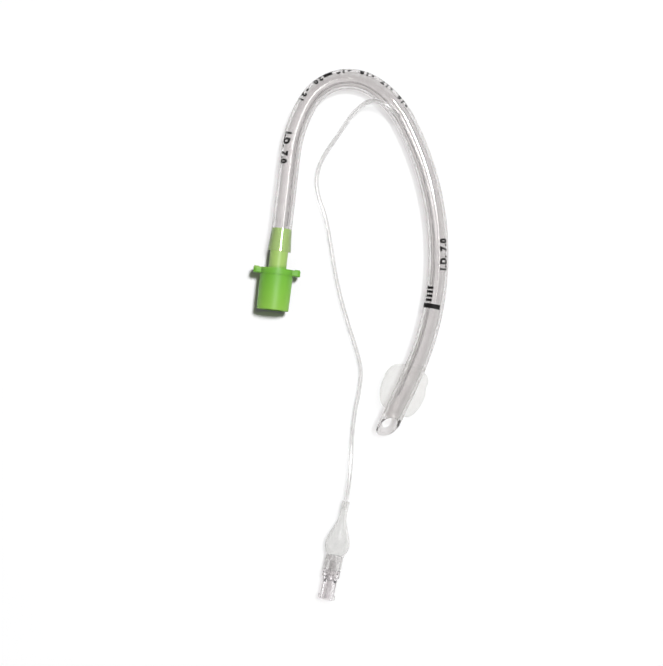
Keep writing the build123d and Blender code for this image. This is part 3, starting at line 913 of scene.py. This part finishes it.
class AIRWAY_OT_connector(bpy.types.Operator):
    """Green push-fit connector, an opaque green whose colour ramp paints the light that shines through the
    thin wall: paler at the stub and mouth, darker at the flange
    """

    bl_idname = "airway.connector"
    bl_label = "Connector"

    def execute(self, context):
        hard = context.scene.airway_hard
        look = Shading("green_plastic")
        body = look.add("ShaderNodeBsdfPrincipled", IOR=1.45, Specular_IOR_Level=0.35)
        axis = look.add("ShaderNodeSeparateXYZ")
        look.join(look.place.outputs["Object"], axis.inputs["Vector"])
        along = look.add("ShaderNodeMapRange", From_Min=-28.0 * MM, From_Max=10.0 * MM)
        look.join(axis.outputs["Y"], along.inputs["Value"])
        # Painted light: colours along the connector, paler where light would pass through the thin stub and
        # mouth
        ramp = look.add("ShaderNodeValToRGB")
        steps = ramp.color_ramp.elements
        steps[0].position = 0.0
        steps[0].color = (*hard.mouth_green_painted_light, 1)
        steps[1].position = 1.0
        steps[1].color = (*hard.stub_green_painted_light, 1)
        inner_steps = ((0.25, hard.green), (0.46, hard.green_flange), (0.52, hard.green_flange),
                       (0.57, hard.stub_green_painted_light))
        for position, colour in inner_steps:
            steps.new(position).color = (*colour, 1)
        look.join(along.outputs["Result"], ramp.inputs["Fac"])
        drift = look.add("ShaderNodeMix")
        drift.data_type = "RGBA"
        drift.blend_type = "MULTIPLY"
        drift.inputs["Factor"].default_value = 1.0
        patches = look.spread(look.noise(70.0).outputs["Fac"], 0.95, 1.05)
        look.join(ramp.outputs["Color"], drift.inputs["A"])
        look.join(patches.outputs["Result"], drift.inputs["B"])
        look.join(drift.outputs["Result"], body.inputs["Base Color"])
        look.wear(body, 300.0, 0.4, 0.5)
        look.let_light_through(body, (0.17, 0.23, 0.05))
        dress_node("connector", look.material)
        return {"FINISHED"}


def pilot_place(distance, sideways=0.0, upwards=0.0):
    """A point beside the pilot axis, at a distance from the neck's open end."""
    soft = bpy.context.scene.airway_soft
    forward = Vector((cos(soft.pilot_heading), sin(soft.pilot_heading), 0))
    across = Vector((0, 0, 1)).cross(forward)
    return Vector(soft.pilot_start) + forward * distance + across * sideways + Vector((0, 0, upwards))


class AIRWAY_OT_balloon(bpy.types.Operator):
    """Soft pilot balloon with its neck and sleeve"""

    bl_idname = "airway.pilot_balloon"
    bl_label = "Pilot balloon"

    # Distance along the axis, half width and half height, in millimetres
    OUTLINE = (
        (0.0, 1.8, 1.8), (4.0, 1.8, 1.8), (7.4, 1.85, 1.82), (9.2, 2.1, 2.0), (11.0, 2.75, 2.35),
        (13.2, 3.6, 2.9), (15.4, 4.55, 3.35), (17.6, 5.3, 3.75), (19.4, 5.75, 3.95), (21.0, 5.85, 4.0),
        (22.6, 5.6, 4.03), (24.2, 5.0, 4.06), (25.6, 4.4, 4.1), (26.6, 4.12, 4.1), (32.2, 4.1, 4.1),
    )

    def execute(self, context):
        soft = context.scene.airway_soft
        skin = [self.ring(*(v * MM for v in row)) for row in self.spread_outline()]
        lining = []
        for distance, half_width, half_height in reversed(self.spread_outline()):
            lining.append(self.ring(distance * MM, (half_width - BALLOON_WALL) * MM,
                                    (half_height - BALLOON_WALL) * MM))
        mesh = ring_mesh("soft_balloon", [(skin + lining, True)])
        smooth_faces(mesh, 60.0)
        balloon = mesh_object("soft_balloon", mesh)
        mesh.materials.append(milky_film("balloon_film", soft.film_colour, 0.045, 0.5, 0.2,
                                         (0.93, 0.93, 0.93)))
        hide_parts("pilot_balloon")
        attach(balloon, AIRWAY)
        return {"FINISHED"}

    def spread_outline(self):
        """More sections between those of the outline, on a smooth curve."""
        rows = self.OUTLINE
        fine = []
        for i in range(len(rows) - 1):
            before = rows[max(i - 1, 0)]
            after = rows[min(i + 2, len(rows) - 1)]
            for k in range(5):
                t = k / 5
                row = []
                for a, b, c, d in zip(before, rows[i], rows[i + 1], after):
                    row.append(0.5 * (2 * b + (c - a) * t + (2 * a - 5 * b + 4 * c - d) * t * t
                                      + (3 * b - a - 3 * c + d) * t * t * t))
                fine.append(tuple(row))
        fine.append(rows[-1])
        return fine

    def ring(self, distance, half_width, half_height):
        """A ring of the balloon, with faint creases where it is gathered to its neck."""
        ring = []
        gather = max(0.0, min(1.0, (distance - 9 * MM) / (5 * MM)))
        gather *= max(0.0, min(1.0, (25 * MM - distance) / (4 * MM)))
        for k in range(96):
            turn = 2 * pi * k / 96
            crease = 1 - 0.035 * gather * (0.5 + 0.5 * sin(turn * 7 + 0.6)) ** 3
            ring.append(pilot_place(distance, cos(turn) * half_width * crease,
                                    sin(turn) * half_height * crease))
        return ring


class AIRWAY_OT_valve(bpy.types.Operator):
    """One-way valve: finishes of its body, base, plunger and seal"""

    bl_idname = "airway.valve"
    bl_label = "Valve"

    def execute(self, context):
        hard = context.scene.airway_hard
        # The housing's second colour is painted shade along its edges
        dress_node("valve_housing", clear_plastic("clear_valve", hard.valve_colour, (0.66, 0.62, 0.64), 0.08,
                                                  (0.95, 0.94, 0.94), (0.8, 0.78, 0.79)))
        dress_node("valve_base", tinted_plastic("milky_base", (0.93, 0.91, 0.915), 0.9, 0.12,
                                                (0.85, 0.84, 0.84)))
        dress_node("valve_plunger", tinted_plastic("plunger_plastic", hard.core_colour, 0.3, 0.3,
                                                   (0.5, 0.5, 0.5)))
        dress_node("valve_seal", opaque_finish("seal_rubber", (0.30, 0.29, 0.30), 0.5))
        return {"FINISHED"}


class AIRWAY_OT_spring(bpy.types.Operator):
    """Wire spring of the valve, made with Geometry Nodes"""

    bl_idname = "airway.spring"
    bl_label = "Valve spring"

    def execute(self, context):
        hard = context.scene.airway_hard
        wire = opaque_finish("spring_wire", (0.62, 0.61, 0.6), 0.25, 1.0)
        tree = self.coil_tree(wire)
        holder = mesh_object("coil_holder", bpy.data.meshes.new("coil_holder"))
        coil = holder.modifiers.new("coil", "NODES")
        coil.node_group = tree
        values = {
            "Turns": float(hard.spring_turns),
            "Radius": hard.spring_diameter / 2,
            "Height": hard.spring_length,
            "Wire Radius": hard.spring_wire / 2,
        }
        for socket in tree.interface.items_tree:
            if socket.name in values:
                coil[socket.identifier] = values[socket.name]
        spring = plain_copy(holder, "spring_coil")
        floor = pilot_place(SPRING_FLOOR + hard.spring_wire / 2)
        forward = pilot_place(1.0) - pilot_place(0.0)
        turn = forward.to_track_quat("Z", "Y").to_matrix().to_4x4()
        spring.data.transform(Matrix.Translation(floor) @ turn)
        smooth_faces(spring.data, 60.0)
        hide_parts("valve_spring")
        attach(spring, AIRWAY)
        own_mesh(spring)
        return {"FINISHED"}

    def coil_tree(self, wire):
        """A tree that winds a wire, with its sizes as inputs."""
        tree = bpy.data.node_groups.new("wound_wire", "GeometryNodeTree")
        for name in ("Turns", "Radius", "Height", "Wire Radius"):
            tree.interface.new_socket(name, in_out="INPUT", socket_type="NodeSocketFloat")
        tree.interface.new_socket("Geometry", in_out="OUTPUT", socket_type="NodeSocketGeometry")
        nodes, links = tree.nodes, tree.links
        inputs = nodes.new("NodeGroupInput")
        spiral = nodes.new("GeometryNodeCurveSpiral")
        spiral.inputs["Resolution"].default_value = 36
        for start, end in (("Turns", "Rotations"), ("Radius", "Start Radius"), ("Radius", "End Radius"),
                           ("Height", "Height")):
            links.new(inputs.outputs[start], spiral.inputs[end])
        profile = nodes.new("GeometryNodeCurvePrimitiveCircle")
        profile.inputs["Resolution"].default_value = 10
        links.new(inputs.outputs["Wire Radius"], profile.inputs["Radius"])
        wound = nodes.new("GeometryNodeCurveToMesh")
        wound.inputs["Fill Caps"].default_value = True
        links.new(spiral.outputs["Curve"], wound.inputs["Curve"])
        links.new(profile.outputs["Curve"], wound.inputs["Profile Curve"])
        real = nodes.new("GeometryNodeRealizeInstances")
        links.new(wound.outputs["Mesh"], real.inputs["Geometry"])
        finish = nodes.new("GeometryNodeSetMaterial")
        finish.inputs["Material"].default_value = wire
        links.new(real.outputs["Geometry"], finish.inputs["Geometry"])
        output = nodes.new("NodeGroupOutput")
        links.new(finish.outputs["Geometry"], output.inputs["Geometry"])
        return tree


class AIRWAY_PT_panel(bpy.types.Panel):
    """Lists the pieces of the tube"""

    bl_label = "Endotracheal tube"
    bl_idname = "AIRWAY_PT_panel"
    bl_space_type = "VIEW_3D"
    bl_region_type = "UI"
    bl_category = "Airway"

    def draw(self, context):
        for place, settings in SETTINGS:
            box = self.layout.box()
            for name in settings.__annotations__:
                box.prop(getattr(context.scene, place), name)
        for operator in OPERATORS:
            self.layout.operator(operator.bl_idname)


OPERATORS = (AIRWAY_OT_stage, AIRWAY_OT_balloon, AIRWAY_OT_valve, AIRWAY_OT_spring, AIRWAY_OT_line,
             AIRWAY_OT_tube, AIRWAY_OT_print, AIRWAY_OT_cuff, AIRWAY_OT_connector)
SETTINGS = (("airway_tube", TubeSettings), ("airway_soft", SoftSettings), ("airway_hard", HardSettings),
            ("airway_stage", StageSettings))
CLASSES = (*(settings for _, settings in SETTINGS), *OPERATORS, AIRWAY_PT_panel)


def register():
    for item in CLASSES:
        bpy.utils.register_class(item)
    for place, settings in SETTINGS:
        setattr(bpy.types.Scene, place, PointerProperty(type=settings))


def unregister():
    for place, _ in reversed(SETTINGS):
        delattr(bpy.types.Scene, place)
    for item in reversed(CLASSES):
        bpy.utils.unregister_class(item)


def main():
    """Builds the whole dressed tube."""
    register()
    bpy.ops.airway.stage()
    bpy.ops.airway.pilot_balloon()
    bpy.ops.airway.valve()
    bpy.ops.airway.spring()
    bpy.ops.airway.inflation_line()
    bpy.ops.airway.tube()
    bpy.ops.airway.printed_marks()
    bpy.ops.airway.cuff()
    bpy.ops.airway.connector()


if __name__ == "__main__":
    main()
